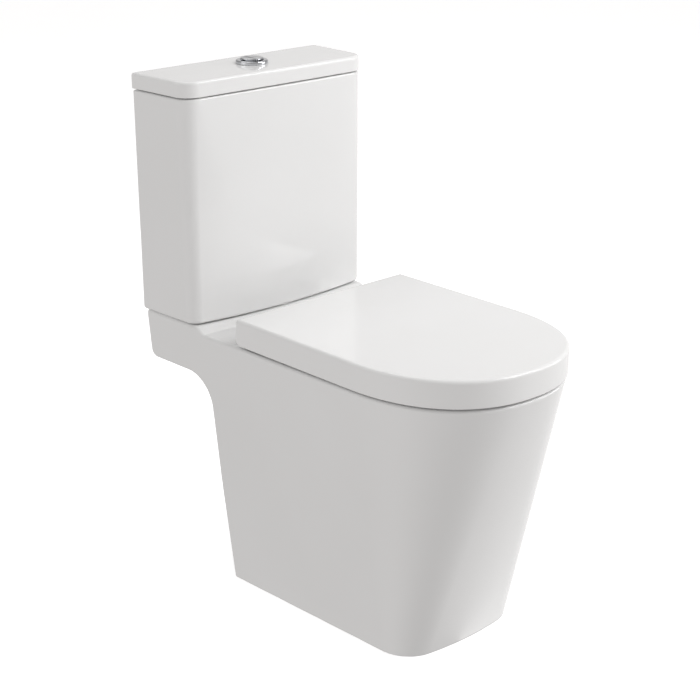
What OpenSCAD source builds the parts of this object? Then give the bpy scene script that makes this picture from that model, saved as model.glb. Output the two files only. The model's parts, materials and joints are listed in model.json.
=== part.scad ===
// Close coupled toilet: pan, cistern, dual flush mechanism and soft-close seat.
// Millimetres, +Z up. The front faces -Y and the wall side +Y. The origin lies on the floor,
// on the plane of symmetry, halfway between the wall side and the front of the seat.

/* [Overall] */
// Depth from the wall side to the front of the seat lid
overall_depth = 700; // [680:1:740]
// Height of the top of the cistern lid
lid_top = 850; // [846:1:858]

/* [Pan] */
// Height of the deck that the seat closes onto
deck_height = 445; // [443:0.5:446]
// Height of the platform that the cistern stands on
platform_height = 454; // [452.5:0.5:454.5]
// Half width of the pan at its wall side
pan_back_half = 182; // [180:1:186]
// Half width of the pan under the seat
pan_half = 177; // [174:1:178]
// Half width of the foot at the wall side
foot_back_half = 142; // [138:1:144]
// Half width of the foot at its front corners
foot_front_half = 126; // [122:1:128]
// Distance from the wall side to the front corners of the foot
foot_depth = 560; // [550:1:566]
// How far the front of the foot bulges between its corners
foot_bulge = 15; // [10:1:20]
// Radius of the front corners of the foot
foot_corner = 58; // [50:1:60]
// Thickness of the ceramic walls
pan_wall = 10; // [9:0.5:11]
// Height of the underside of the shelf under the cistern
shelf_underside = 369; // [360:1:372]
// Distance from the wall side to the back of the pedestal
pedestal_back = 152; // [148:1:154]
// Radius of the hollow curve between the shelf and the pedestal
shelf_sweep = 52; // [40:1:56]
// Outer diameter of the waste spigot
spigot_d = 102; // [100:1:104]
// Height of the waste spigot's centre line
spigot_height = 180; // [175:1:185]
// Distance between the two floor screws
floor_screw_pitch = 210; // [204:1:212]

/* [Cistern] */
// Half width of the top of the cistern at the wall side
cistern_top_back_half = 193; // [191:1:194]
// Half width of the top of the cistern at its front corners
cistern_top_front_half = 188; // [186:1:189]
// Half width of the foot of the cistern at the wall side
cistern_foot_back_half = 190; // [188:1:191]
// Half width of the foot of the cistern at its front corners
cistern_foot_front_half = 185; // [183:1:187]
// Depth of the top of the cistern at its corners
cistern_top_depth = 133; // [131:1:134]
// Depth of the foot of the cistern at its corners
cistern_foot_depth = 129; // [127:1:131]
// How far the foot of the cistern bulges forward
cistern_foot_bulge = 17; // [14:1:19]
// Thickness of the cistern walls
cistern_wall = 9; // [8:0.5:10]
// Distance between the two cistern to pan coupling bolts
coupling_pitch = 176; // [174:1:178]
// Distance of the flush valve's axis from the wall side
valve_depth = 66; // [65:0.5:67]
// Distance of the fill valve from the plane of symmetry
fill_valve_x = 130; // [128:1:132]
// Distance between the two wall screws of the cistern
wall_screw_pitch = 220; // [200:1:240]

/* [Seat] */
// Half width of the seat lid
seat_half = 180; // [179:1:182]
// Distance from the wall side to the back of the seat
seat_back = 229; // [228:1:231]
// Distance from the wall side to where the seat starts to round
seat_shoulder = 488; // [480:1:496]
// Height of the underside of the lid's skirt
seat_skirt = 448.5; // [448:0.5:449]
// Height of the top of the seat lid
seat_top = 492.5; // [491:0.5:493]
// Distance between the two hinge posts
hinge_pitch = 155; // [153:1:157]
// Distance of the hinge axis from the wall side
hinge_depth = 247; // [246.5:0.5:247.5]
// Height of the hinge axis
hinge_height = 468; // [467.5:0.5:468.5]

/* [Flush button] */
// Outer diameter of the chrome bezel
bezel_d = 53; // [51:1:54]
// How far a button travels when it is pressed
button_travel = 5; // [4:0.5:5]

/* [Hidden] */
$fn = 48;

wall_y = overall_depth / 2;
// Thickness of the thin slices that rounded bodies are drawn between
slice = 0.5;
// How far the elbows of a pipe stand proud of its straights
elbow_swell = 0.6;
// How far a cutter runs past what it cuts
slit = 1;

// Colours
china = [0.95, 0.95, 0.94];
plastic_white = [0.93, 0.93, 0.92];
chrome = [0.75, 0.76, 0.78];
steel = [0.62, 0.63, 0.65];
rubber = [0.12, 0.12, 0.13];
valve_blue = [0.30, 0.45, 0.62];
grey_plastic = [0.55, 0.57, 0.60];

// Pan: heights, outlines and passages
rim_edge = 4;
rim_shoulder = 488;
rim_front = 697;
rim_side_y = 240;
shelf_corner = 16;
pedestal_rake = 8;
cavity_top = 431;
bowl_centre = 485;
bowl_half = 126;
bowl_length = 163;
bowl_mid_half = 90;
bowl_mid_length = 112;
bowl_mid_centre = 470;
bowl_mid_height = 300;
sump_depth = 430;
sump_height = 145;
sump_r = 38;
weir_depth = 330;
weir_height = 270;
trap_drop_depth = 235;
trap_bore = 37;
trap_wall = 11;
trap_end = 60;
spigot_face = 91;
spigot_length = 60;
inlet_bore = 28;
inlet_seat_r = 60;
inlet_seat_floor = 448;
duct_r = 20;
duct_wall = 8;
duct_height = 402;
duct_fall = 6;
bolt_slot = 50;
duct_end = 352;
platform_front = 150;
platform_skirt = 8;
bolt_hole_r = 6;
supply_hole_r = 20;
seat_hole_r = 6;
lug = [50, 50, 14];
lug_depth = 185;
floor_hole_r = 4;

// Cistern
cistern_foot = 456;
cistern_top = 822.5;
cistern_floor = 10;
cistern_corner_top = 28;
cistern_corner_foot = 23;
cistern_top_bulge = 2;
edge_round = 5;
boss_r = 74;
boss_pocket_r = 60;
boss_roof = 478;
boss_top = 488;
shank_r = 31;
shank_hole_r = 32;
supply_shank_r = 11.1;
supply_tail_r = 10.48;
supply_shank_hole_r = 11.5;
wall_screw_height = 770;
wall_screw_r = 4;

// Cistern lid
lid_gap = 2;
lid_bottom = cistern_top + lid_gap;
lid_overhang = 1;
lid_thickness = 8;
lid_edge = 5;
lip_drop = 8;
lip_wall = 5;
lip_clearance = 2;
button_hole_r = 20;

// Coupling bolts
coupling_r = 4;
coupling_tail = 408;
washer_t = 3.5;
plate_t = 1.5;
nut_plate_t = 2;

// Flush mechanism
nut_floor = 467;
nut_lug_r = 42;
valve_tail = 452;
valve_bore = 27;
seat_edge_r = 30;
flange_t = 4;
base_washer_t = 3;
base_flange_r = 37;
base_top = boss_top + base_washer_t + flange_t;
seal_height = 500;
cage_top = 752;
cage_r = 34;
cage_bore = 30;
tube_r = 12;
tube_top = 742;
tube_bottom = 503;
lever_pivot_z = 766;
lever_x = 8;
lever_w = 7;
lever_t = 3;
lever_in = 11;
lever_out = 22;
rod_depth = valve_depth + 8;
hook_z = lever_pivot_z + 2.7;
hook_back = 26;
pin_r = 1.5;
pin_clearance = 0.05;
button_top = lid_top + 10;
head_foot = lid_top + 7;
head_r = 18.6;
bezel_top = lid_top + 6;
bezel_floor = 818;
bezel_shank_r = 19;
bezel_bore = 16.5;
bezel_wall_top = lid_top + 4.5;
recess_foot = lid_top + 1.8;
recess_r = 19.2;
button_r = 16;
button_split = -3.5;
button_slit = 0.6;
bezel_web = 4;
spring_solid = 16;
button_foot = bezel_floor + bezel_web + spring_solid + button_travel;
rod_r = 2;
rod_tip = lever_pivot_z + 3.2;
spring_r = 3.6;
wire_r = 0.4;
spring_turns = 6;

// Fill valve
fill_riser_r = 11;
fill_top = 742;
fill_washer_t = 3;
fill_foot = cistern_foot + cistern_floor + fill_washer_t;
supply_tail = 412;
supply_bore = 7;
backnut_h = 9;
float_r = 22;
float_height = 46;
float_bottom = 640;
fill_lever_z = 762;
fill_pivot_x = fill_valve_x + 8;
float_rod_x = fill_pivot_x - 36;
backnut_r = 16;

// Seat
skirt_wall = 6;
lid_panel = 7;
lid_round = 4;
front_fullness = 2.28;
ring_gap = 2;
ring_bottom = 450;
ring_top = 473;
ring_back = 279;
ring_hole_half = 112;
ring_hole_length = 150;
ring_hole_centre = 489;
ring_hole_flare = 8;
back_corner_r = 21;
knuckle_r = 8.5;
post_half = 9;
knuckle_w = 18;
knuckle_gap = 1;
hinge_pin_r = 4;
notch_in = 38;
notch_out = 112;
post_x = hinge_pitch / 2;
ring_knuckle_x = post_x + post_half + knuckle_gap;
lid_knuckle_x = ring_knuckle_x + knuckle_w + knuckle_gap;
damper_x = lid_knuckle_x + knuckle_w;
damper_length = 24;
damper_r = 6.5;
post_foot_r = 10.5;
post_seal = 1.5;
seat_bolt_r = 4;
seat_bolt_tail = 396;
seat_washer_t = 3;
buffer_gap = 0.2;

// ---- outlines ----

// Points along an arc; skip leaves out that many at each end, where a neighbour already has them.
function arc(centre, r, from, to, steps, skip = 0) = [for (i = [skip:steps - skip])
    let (a = from + (to - from) * i / steps) [centre[0] + r * cos(a), centre[1] + r * sin(a)]];

// Half D outline seen from above: straight sides, then a full rounded front.
function d_outline(half, back, shoulder, front, steps = 36) = concat(
    [[half, wall_y - back]],
    [for (i = [0:steps]) let (a = 180 * i / steps)
        [half * sign(cos(a)) * pow(abs(cos(a)), 2 / front_fullness),
         wall_y - shoulder - (front - shoulder) * pow(sin(a), 2 / front_fullness)]],
    [[-half, wall_y - back]]);

// Closed egg outline, used for the bowl and the hole in the seat.
function egg(half, length, centre, steps = 40) = [for (i = [0:steps - 1])
    let (a = 360 * i / steps) [half * cos(a), wall_y - centre - length * sin(a)]];

// Tub outline seen from above: tapering sides, rounded front corners and a bowed front.
function tub_outline(back_half, front_half, back, depth, bulge, corner, steps = 5) =
    let (bow_r = (front_half * front_half + bulge * bulge) / (2 * bulge),
        bow_y = wall_y - depth - bulge + bow_r,
        side = [back_half - front_half, depth - back],
        u = side / norm(side),
        inward = [-u[1], u[0]],
        start = [front_half, wall_y - depth] + corner * inward - [0, bow_y],
        along = start * u,
        t = -along - sqrt(along * along - start * start + pow(bow_r - corner, 2)),
        centre = start + [0, bow_y] + t * u,
        a_side = atan2(-inward[1], -inward[0]),
        a_front = atan2(centre[1] - bow_y, centre[0]))
    concat([[back_half, wall_y - back]],
        arc(centre, corner, a_side, a_front, steps),
        arc([0, bow_y], bow_r, a_front, -180 - a_front, 2 * steps, 1),
        arc([-centre[0], centre[1]], corner, -180 - a_front, -180 - a_side, steps),
        [[-back_half, wall_y - back]]);

module slab(outline, z, thickness = slice) {
    translate([0, 0, z]) linear_extrude(thickness) polygon(outline);
}

module at(x, depth, z) {
    translate([x, wall_y - depth, z]) children();
}

module both_sides(x, depth, z) {
    for (side = [-1, 1]) at(side * x, depth, z) children();
}

module tube(outer_r, inner_r, height) {
    difference() {
        cylinder(h = height, r = outer_r);
        translate([0, 0, -slit]) cylinder(h = height + 2 * slit, r = inner_r);
    }
}

module along_x(x, depth, z, r, length) {
    at(x, depth, z) rotate([0, 90, 0]) cylinder(h = length, r = r);
}

// Round pipe in the plane of symmetry through points given as [depth, height].
module pipe(points, r) {
    for (i = [0:len(points) - 2]) {
        a = points[i];
        step = points[i + 1] - a;
        at(0, a[0], a[1]) {
            sphere(r = r + elbow_swell);
            rotate([90 - atan2(step[1], step[0]), 0, 0]) cylinder(h = norm(step), r = r);
        }
    }
}

module hex_nut(across_r, bore_r, height) {
    difference() {
        cylinder(h = height, r = across_r, $fn = 6);
        translate([0, 0, -slit]) cylinder(h = height + 2 * slit, r = bore_r);
    }
}

// ---- pan ----

module pan_envelope(inset, top) {
    hull() {
        slab(tub_outline(foot_back_half - inset, foot_front_half - inset, inset,
            foot_depth - inset, foot_bulge, foot_corner - inset), inset > 0 ? -slit : 0);
        slab(rim_outline(inset), top - rim_edge);
        slab(rim_outline(inset + rim_edge), top - slice);
    }
}

function rim_outline(inset) = concat([[pan_back_half - inset, wall_y - inset]],
    d_outline(pan_half - inset, rim_side_y, rim_shoulder, rim_front - inset),
    [[inset - pan_back_half, wall_y - inset]]);

// Side view of the pan's back: shelf, hollow sweep and raked pedestal.
module side_cut() {
    sweep_centre = [-pedestal_back + shelf_sweep, shelf_underside - shelf_sweep];
    outline = concat([[0, deck_height + slit]],
        arc([-shelf_corner, shelf_underside + shelf_corner], shelf_corner, 0, -90, 8),
        arc(sweep_centre, shelf_sweep, 90, 180, 12),
        [[-pedestal_back - pedestal_rake, 0], [-overall_depth, 0],
         [-overall_depth, deck_height + slit]]);
    translate([-pan_back_half - slit, wall_y, 0]) rotate([90, 0, 90])
        linear_extrude(2 * pan_back_half + 2 * slit) polygon(outline);
}

module platform() {
    hull() {
        slab(tub_outline(pan_back_half, pan_back_half - 4, 0, platform_front,
            platform_skirt, cistern_corner_foot), deck_height - slit);
        slab(tub_outline(pan_back_half - 1, pan_back_half - 5, slit, platform_front - 12,
            platform_skirt, cistern_corner_foot), platform_height - slice);
    }
}

module bowl(wall) {
    hull() {
        slab(egg(bowl_half + wall, bowl_length + wall, bowl_centre), deck_height - slice);
        slab(egg(bowl_mid_half + wall, bowl_mid_length + wall, bowl_mid_centre), bowl_mid_height);
    }
    hull() {
        slab(egg(bowl_mid_half + wall, bowl_mid_length + wall, bowl_mid_centre), bowl_mid_height);
        slab(egg(sump_r + wall, sump_r + wall, sump_depth), sump_height - sump_r / 2);
    }
}

module trapway(wall) {
    pipe([[sump_depth, sump_height], [weir_depth, weir_height],
        [trap_drop_depth, spigot_height], [trap_end, spigot_height]], trap_bore + wall);
}

module pan() {
    duct = [[valve_depth, platform_height], [valve_depth, duct_height],
        [duct_end, duct_height - duct_fall]];
    color(china) difference() {
        union() {
            difference() {
                intersection() {
                    pan_envelope(0, deck_height);
                    side_cut();
                }
                pan_envelope(pan_wall, cavity_top);
            }
            platform();
            intersection() {
                bowl(pan_wall);
                translate([0, 0, deck_height / 2]) cube([overall_depth, overall_depth,
                    deck_height], center = true);
            }
            trapway(trap_wall);
            at(0, spigot_face, spigot_height) rotate([90, 0, 0])
                cylinder(h = spigot_length, r = spigot_d / 2);
            pipe(duct, duct_r + duct_wall);
            both_sides(floor_screw_pitch / 2, lug_depth, lug[2] / 2)
                cube([lug[0], lug[1], lug[2]], center = true);
        }
        bowl(0);
        at(0, bowl_centre, deck_height) cylinder(h = deck_height, r = bowl_half / 2);
        trapway(0);
        at(0, spigot_face, spigot_height) rotate([-90, 0, 0])
            cylinder(h = spigot_face - slit, r = spigot_d);
        pipe(duct, duct_r);
        at(0, valve_depth, inlet_seat_floor) cylinder(h = bolt_slot, r = inlet_seat_r);
        at(0, valve_depth, duct_height) cylinder(h = bolt_slot, r = inlet_bore);
        both_sides(coupling_pitch / 2, valve_depth, cavity_top - slit)
            cylinder(h = bolt_slot, r = bolt_hole_r);
        both_sides(fill_valve_x, valve_depth, cavity_top - slit)
            cylinder(h = bolt_slot, r = supply_hole_r);
        both_sides(post_x, hinge_depth, cavity_top - slit)
            cylinder(h = bolt_slot, r = seat_hole_r);
        both_sides(floor_screw_pitch / 2, lug_depth, -slit)
            cylinder(h = lug[2] + 2 * slit, r = floor_hole_r);
    }
}

// ---- cistern ----

function cistern_outline(inset, share) =
    let (mix = function(foot, top) foot + (top - foot) * share)
    tub_outline(mix(cistern_foot_back_half, cistern_top_back_half) - inset,
        mix(cistern_foot_front_half, cistern_top_front_half) - inset, 2 + inset,
        mix(cistern_foot_depth, cistern_top_depth) - inset,
        mix(cistern_foot_bulge, cistern_top_bulge),
        mix(cistern_corner_foot, cistern_corner_top) - min(inset, cistern_corner_foot / 2));

module cistern_body() {
    color(china) difference() {
        union() {
            difference() {
                hull() {
                    slab(cistern_outline(edge_round / 2, 0), cistern_foot);
                    slab(cistern_outline(0, 0), cistern_foot + edge_round);
                    slab(cistern_outline(0, 1), cistern_top - edge_round / 2);
                    slab(cistern_outline(edge_round / 3, 1), cistern_top - slice);
                }
                hull() {
                    slab(cistern_outline(cistern_wall, 0), cistern_foot + cistern_floor);
                    slab(cistern_outline(cistern_wall, 1), cistern_top + slit);
                }
            }
            intersection() {
                at(0, valve_depth, cistern_foot)
                    cylinder(h = boss_top - cistern_foot, r = boss_r);
                hull() {
                    slab(cistern_outline(edge_round, 0), cistern_foot);
                    slab(cistern_outline(edge_round, 0), boss_top);
                }
            }
        }
        at(0, valve_depth, cistern_foot - slit)
            cylinder(h = boss_roof - cistern_foot + slit, r = boss_pocket_r);
        at(0, valve_depth, cistern_foot) cylinder(h = bolt_slot, r = shank_hole_r);
        both_sides(coupling_pitch / 2, valve_depth, cistern_foot - slit)
            cylinder(h = cistern_floor + 2 * slit, r = bolt_hole_r);
        both_sides(fill_valve_x, valve_depth, cistern_foot - slit)
            cylinder(h = cistern_floor + 2 * slit, r = supply_shank_hole_r);
        both_sides(wall_screw_pitch / 2, 2 * cistern_wall, wall_screw_height)
            rotate([-90, 0, 0]) cylinder(h = 2 * cistern_wall + slit, r = wall_screw_r);
    }
}

module cistern_lid() {
    lip_inset = cistern_wall + lip_clearance;
    color(china) difference() {
        union() {
            difference() {
                hull() {
                    slab(cistern_outline(-lid_overhang, 1), lid_bottom);
                    slab(cistern_outline(-lid_overhang, 1), lid_top - lid_edge);
                    slab(cistern_outline(lid_edge - lid_overhang, 1), lid_top - slice);
                }
                slab(cistern_outline(lip_inset + lip_wall, 1), lid_bottom - slit,
                    lid_top - lid_thickness - lid_bottom + slit);
            }
            difference() {
                slab(cistern_outline(lip_inset, 1), lid_bottom - lip_drop, lip_drop + slit);
                slab(cistern_outline(lip_inset + lip_wall, 1), lid_bottom - lip_drop - slit,
                    lip_drop + 3 * slit);
            }
        }
        at(0, valve_depth, lid_top - 2 * lid_thickness)
            cylinder(h = 3 * lid_thickness, r = button_hole_r);
    }
}

module lid_pads() {
    for (depth = [6, 124])
        color(rubber) both_sides(150, depth, cistern_top)
            translate([-8, -4, 0]) cube([16, 4, lid_gap]);
}

module cistern_seat_pads() {
    color(rubber) both_sides(155, 100, platform_height)
        cylinder(h = cistern_foot - platform_height, r = 9);
}

// ---- cistern to pan coupling ----

module coupling_bolts() {
    head_z = cistern_foot + cistern_floor + washer_t + plate_t;
    color(steel) both_sides(coupling_pitch / 2, valve_depth, 0) {
        translate([0, 0, coupling_tail]) cylinder(h = head_z - coupling_tail, r = coupling_r);
        translate([0, 0, head_z]) cylinder(h = 6, r = 2 * coupling_r);
    }
}

module coupling_rubber_washers() {
    color(rubber) both_sides(coupling_pitch / 2, valve_depth, cistern_foot + cistern_floor)
        tube(11, coupling_r + 0.1, washer_t);
}

module coupling_plate_washers() {
    color(steel) both_sides(coupling_pitch / 2, valve_depth, 0) {
        translate([0, 0, cistern_foot + cistern_floor + washer_t])
            tube(10, coupling_r + 0.1, plate_t);
        translate([0, 0, cavity_top - nut_plate_t]) tube(11, coupling_r + 0.1, nut_plate_t);
    }
}

module wing_nut(bore_r, height, span) {
    difference() {
        union() {
            cylinder(h = height, r = bore_r + 4);
            translate([-span / 2, -1.5, 0]) cube([span, 3, height + 4]);
        }
        translate([0, 0, -slit]) cylinder(h = height + 6, r = bore_r);
    }
}

module coupling_wing_nuts() {
    color(steel) both_sides(coupling_pitch / 2, valve_depth, cavity_top - nut_plate_t)
        mirror([0, 0, 1]) wing_nut(coupling_r + 0.1, 8, 32);
}

module doughnut_seal() {
    color(rubber) at(0, valve_depth, inlet_seat_floor) difference() {
        cylinder(h = boss_roof - inlet_seat_floor, r = boss_pocket_r - 2);
        translate([0, 0, -slit]) cylinder(h = boss_pocket_r, r = shank_r + 1.5);
        translate([0, 0, nut_floor - inlet_seat_floor - slit])
            cylinder(h = boss_pocket_r, r = nut_lug_r + 1.5);
    }
}

// ---- flush valve ----

module valve_base() {
    color(grey_plastic) at(0, valve_depth, 0) difference() {
        union() {
            translate([0, 0, valve_tail])
                cylinder(h = boss_top + base_washer_t - valve_tail, r = shank_r);
            translate([0, 0, boss_top + base_washer_t]) cylinder(h = flange_t, r = base_flange_r);
            translate([0, 0, base_top]) cylinder(h = seal_height - base_top, r = seat_edge_r);
        }
        translate([0, 0, valve_tail - slit]) cylinder(h = cage_top - valve_tail, r = valve_bore);
    }
}

module valve_base_washer() {
    color(rubber) at(0, valve_depth, boss_top) tube(base_flange_r, shank_hole_r, base_washer_t);
}

module valve_back_nut() {
    height = boss_roof - nut_floor;
    color(grey_plastic) at(0, valve_depth, nut_floor) difference() {
        union() {
            cylinder(h = height, r = nut_lug_r - 5);
            for (i = [0:7]) rotate([0, 0, 45 * i]) translate([nut_lug_r - 8, -3, 0])
                cube([8, 6, height]);
        }
        translate([0, 0, -slit]) cylinder(h = height + 2 * slit, r = shank_r + pin_clearance);
    }
}

module valve_cage() {
    color(grey_plastic) at(0, valve_depth, 0) {
        translate([0, 0, base_top]) tube(cage_r, cage_bore + 0.2, 9);
        for (i = [0:3]) rotate([0, 0, 45 + 90 * i])
            translate([cage_bore, -4, base_top + 4]) cube([4, 8, cage_top - base_top - 4]);
        for (z = [600, 680, cage_top - 6]) translate([0, 0, z]) tube(cage_r, cage_bore, 6);
        for (x = [-15, 0, 15]) translate([x, 0, 0]) lever_bridge(x == 0 ? 31 : 28);
    }
}

// Bar across the cage's top ring, with an ear in the middle for the levers' pin.
module lever_bridge(reach) {
    bar_z = 757;
    difference() {
        union() {
            translate([-1.5, -reach, bar_z]) cube([3, 2 * reach, 4]);
            for (side = [-1, 1]) translate([-1.5, side * (reach - 1.5) - 1.5, cage_top - 2])
                cube([3, 3, bar_z + 4 - cage_top + 2]);
            translate([-1.5, -4, bar_z]) cube([3, 8, lever_pivot_z + 4 - bar_z]);
        }
        translate([-3, 0, lever_pivot_z]) rotate([0, 90, 0]) cylinder(h = 6, r = pin_r + 0.02);
    }
}

module lever_pin() {
    color(steel) along_x(-17, valve_depth, lever_pivot_z, pin_r, 34);
}

module flush_lever(side) {
    color(valve_blue) at(side * lever_x, valve_depth, lever_pivot_z) difference() {
        union() {
            translate([-lever_w / 2, -lever_in, -lever_t / 2])
                cube([lever_w, lever_in + lever_out, lever_t]);
            translate([-lever_w / 2, 0, 0]) rotate([0, 90, 0]) cylinder(h = lever_w, r = 3.5);
        }
        translate([-lever_w, 0, 0]) rotate([0, 90, 0])
            cylinder(h = 2 * lever_w, r = pin_r + pin_clearance);
    }
}

module full_flush_lever() {
    flush_lever(1);
}

module half_flush_lever() {
    flush_lever(-1);
}

// Hook that a lever lifts, on a strap that hangs behind the lever's end.
module hook(foot_z) {
    translate([-4, 17, hook_z]) cube([8, hook_back - 17, 3]);
    translate([-4, hook_back - 3, foot_z]) cube([8, 3, hook_z + 3 - foot_z]);
}

module overflow_tube() {
    arm_z = 724;
    color(valve_blue) at(0, valve_depth, 0) difference() {
        union() {
            translate([0, 0, tube_bottom]) cylinder(h = tube_top - tube_bottom, r = tube_r);
            translate([0, 0, tube_bottom]) cylinder(h = 5, r = 28);
            translate([0, 0, arm_z]) cylinder(h = 4, r = 18);
            translate([lever_x - 4, 10, arm_z]) cube([8, hook_back - 10, 4]);
            translate([lever_x, 0, 0]) hook(arm_z);
        }
        translate([0, 0, tube_bottom - 10]) cylinder(h = 300, r = tube_r - 2);
    }
}

module valve_seal() {
    color(rubber) at(0, valve_depth, seal_height) tube(29, tube_r - 2, tube_bottom - seal_height);
}

module half_flush_float() {
    float_top = 690;
    color(plastic_white) at(-lever_x, valve_depth, 0) {
        translate([0, 20, 640]) cylinder(h = float_top - 640, r = 6);
        translate([-1.5, 20, float_top - slit]) cube([3, hook_back - 20, 4]);
        hook(float_top - slit);
    }
}

// ---- flush button ----

module button_bezel() {
    color(chrome) at(0, valve_depth, 0) difference() {
        union() {
            translate([0, 0, bezel_floor]) cylinder(h = lid_top - bezel_floor, r = bezel_shank_r);
            translate([0, 0, lid_top]) cylinder(h = bezel_wall_top - lid_top, r = bezel_d / 2);
            translate([0, 0, bezel_wall_top])
                cylinder(h = bezel_top - bezel_wall_top, r1 = bezel_d / 2, r2 = bezel_d / 2 - 2);
        }
        translate([0, 0, bezel_floor + bezel_web]) cylinder(h = 60, r = bezel_bore);
        translate([0, 0, recess_foot]) cylinder(h = bezel_top, r = recess_r);
        for (side = [-1, 1]) translate([side * lever_x, -8, bezel_floor - slit])
            cylinder(h = 10, r = rod_r + 0.3);
    }
}

module bezel_nut() {
    nut_h = 7;
    color(grey_plastic) at(0, valve_depth, lid_top - lid_thickness - nut_h)
        hex_nut(26, bezel_shank_r + pin_clearance, nut_h);
}

module button(side) {
    split = side > 0 ? button_split + button_slit : -2 * button_r;
    width = side > 0 ? 3 * button_r : 2 * button_r + button_split - button_slit;
    color(chrome) {
        intersection() {
            union() {
                at(0, valve_depth, button_foot)
                    cylinder(h = button_top - button_foot, r = button_r);
                at(0, valve_depth, head_foot) cylinder(h = button_top - head_foot, r = head_r);
            }
            at(split, valve_depth + 2 * button_r, button_foot) cube([width, 4 * button_r, 50]);
        }
        at(side * lever_x, rod_depth, rod_tip) cylinder(h = button_foot + slit - rod_tip, r = rod_r);
    }
}

module full_flush_button() {
    button(1);
}

module half_flush_button() {
    button(-1);
}

// Compression spring: a six-sided wire swept along a helix.
module spring(height) {
    steps = 10 * spring_turns;
    sides = 6;
    points = [for (i = [0:steps]) for (k = [0:sides - 1])
        let (turn = 360 * spring_turns * i / steps, a = 360 * k / sides,
            r = spring_r + wire_r * cos(a))
        [r * cos(turn), r * sin(turn),
         wire_r + (height - 2 * wire_r) * i / steps + wire_r * sin(a)]];
    wall = [for (i = [0:steps - 1]) for (k = [0:sides - 1])
        let (a = i * sides + k, b = i * sides + (k + 1) % sides)
        [a, a + sides, b + sides, b]];
    polyhedron(points, concat([[for (k = [0:sides - 1]) k]], wall,
        [[for (k = [sides - 1:-1:0]) steps * sides + k]]));
}

module button_spring(side) {
    floor_z = bezel_floor + bezel_web + 0.1;
    color(steel) at(side * lever_x, rod_depth, floor_z) spring(button_foot - 0.1 - floor_z);
}

module full_button_spring() {
    button_spring(1);
}

module half_button_spring() {
    button_spring(-1);
}

// ---- fill valve ----

module fill_valve_body() {
    color(grey_plastic) at(fill_valve_x, valve_depth, 0) difference() {
        union() {
            translate([0, 0, fill_foot]) cylinder(h = fill_top - fill_foot, r = fill_riser_r);
            translate([0, 0, fill_foot]) cylinder(h = 5, r = 18);
            translate([0, 0, cistern_foot - backnut_h - slit])
                cylinder(h = fill_foot - cistern_foot + backnut_h + slit, r = supply_shank_r);
            translate([0, 0, supply_tail])
                cylinder(h = cistern_foot - backnut_h - supply_tail, r = supply_tail_r);
        }
        translate([0, 0, supply_tail - slit])
            cylinder(h = fill_top - supply_tail - supply_bore, r = supply_bore);
    }
}

module fill_valve_washer() {
    color(rubber) at(fill_valve_x, valve_depth, fill_foot - fill_washer_t)
        tube(17, supply_shank_hole_r, fill_washer_t);
}

module fill_valve_back_nut() {
    color(grey_plastic) at(fill_valve_x, valve_depth, cistern_foot - backnut_h)
        hex_nut(backnut_r, supply_shank_r + pin_clearance, backnut_h);
}

module fill_valve_cap() {
    color(valve_blue) difference() {
        union() {
            at(fill_valve_x, valve_depth, fill_top) cylinder(h = 12, r = 16);
            for (side = [-1, 1]) at(fill_pivot_x, valve_depth, fill_top + 11)
                translate([-4, side * 5 - 1.5, 0]) cube([8, 3, fill_lever_z + 5 - fill_top - 11]);
        }
        at(fill_pivot_x, valve_depth - 10, fill_lever_z) rotate([90, 0, 0])
            cylinder(h = 20, r = pin_r + 0.02);
    }
}

module fill_lever_pin() {
    color(steel) at(fill_pivot_x, valve_depth - 6.5, fill_lever_z) rotate([90, 0, 0])
        cylinder(h = 13, r = pin_r);
}

module fill_lever() {
    reach = fill_pivot_x - float_rod_x + 8;
    color(valve_blue) at(fill_pivot_x, valve_depth, fill_lever_z) difference() {
        union() {
            translate([-reach, -3, -lever_t / 2]) cube([reach, 6, lever_t]);
            translate([0, 3, 0]) rotate([90, 0, 0]) cylinder(h = 6, r = 3.5);
            translate([-reach, -5, -lever_t / 2]) cube([16, 10, lever_t]);
        }
        translate([-reach - slit, -2.2, -lever_t]) cube([14, 4.4, 2 * lever_t]);
        translate([0, 10, 0]) rotate([90, 0, 0]) cylinder(h = 20, r = pin_r + pin_clearance);
    }
}

module fill_float() {
    color(plastic_white) at(fill_valve_x, valve_depth, float_bottom)
        tube(float_r, fill_riser_r + 0.6, float_height);
}

module float_rod() {
    arm_z = float_bottom + float_height;
    disc_top = fill_lever_z - 2.7;
    color(grey_plastic) {
        at(float_rod_x - 3, valve_depth + 4, arm_z)
            cube([fill_valve_x - fill_riser_r - 4 - float_rod_x, 8, 4]);
        at(float_rod_x, valve_depth, arm_z) cylinder(h = fill_lever_z + 14 - arm_z, r = pin_r);
        at(float_rod_x, valve_depth, disc_top - 2) cylinder(h = 2, r = 4);
    }
}

module inlet_filter() {
    color(plastic_white) at(fill_valve_x, valve_depth, supply_tail + 2) difference() {
        cylinder(h = 26, r = 6.8);
        translate([0, 0, -slit]) cylinder(h = 25, r = 5.4);
    }
}

module blanking_plug() {
    floor_z = cistern_foot + cistern_floor;
    color(grey_plastic) at(-fill_valve_x, valve_depth, 0) {
        translate([0, 0, floor_z]) cylinder(h = 4, r = 17);
        translate([0, 0, cistern_foot - backnut_h - 4])
            cylinder(h = backnut_h + 4 + cistern_floor, r = supply_shank_r);
    }
}

module blanking_plug_nut() {
    color(grey_plastic) at(-fill_valve_x, valve_depth, cistern_foot - backnut_h)
        hex_nut(backnut_r, supply_shank_r + pin_clearance, backnut_h);
}

// ---- seat ----

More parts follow.
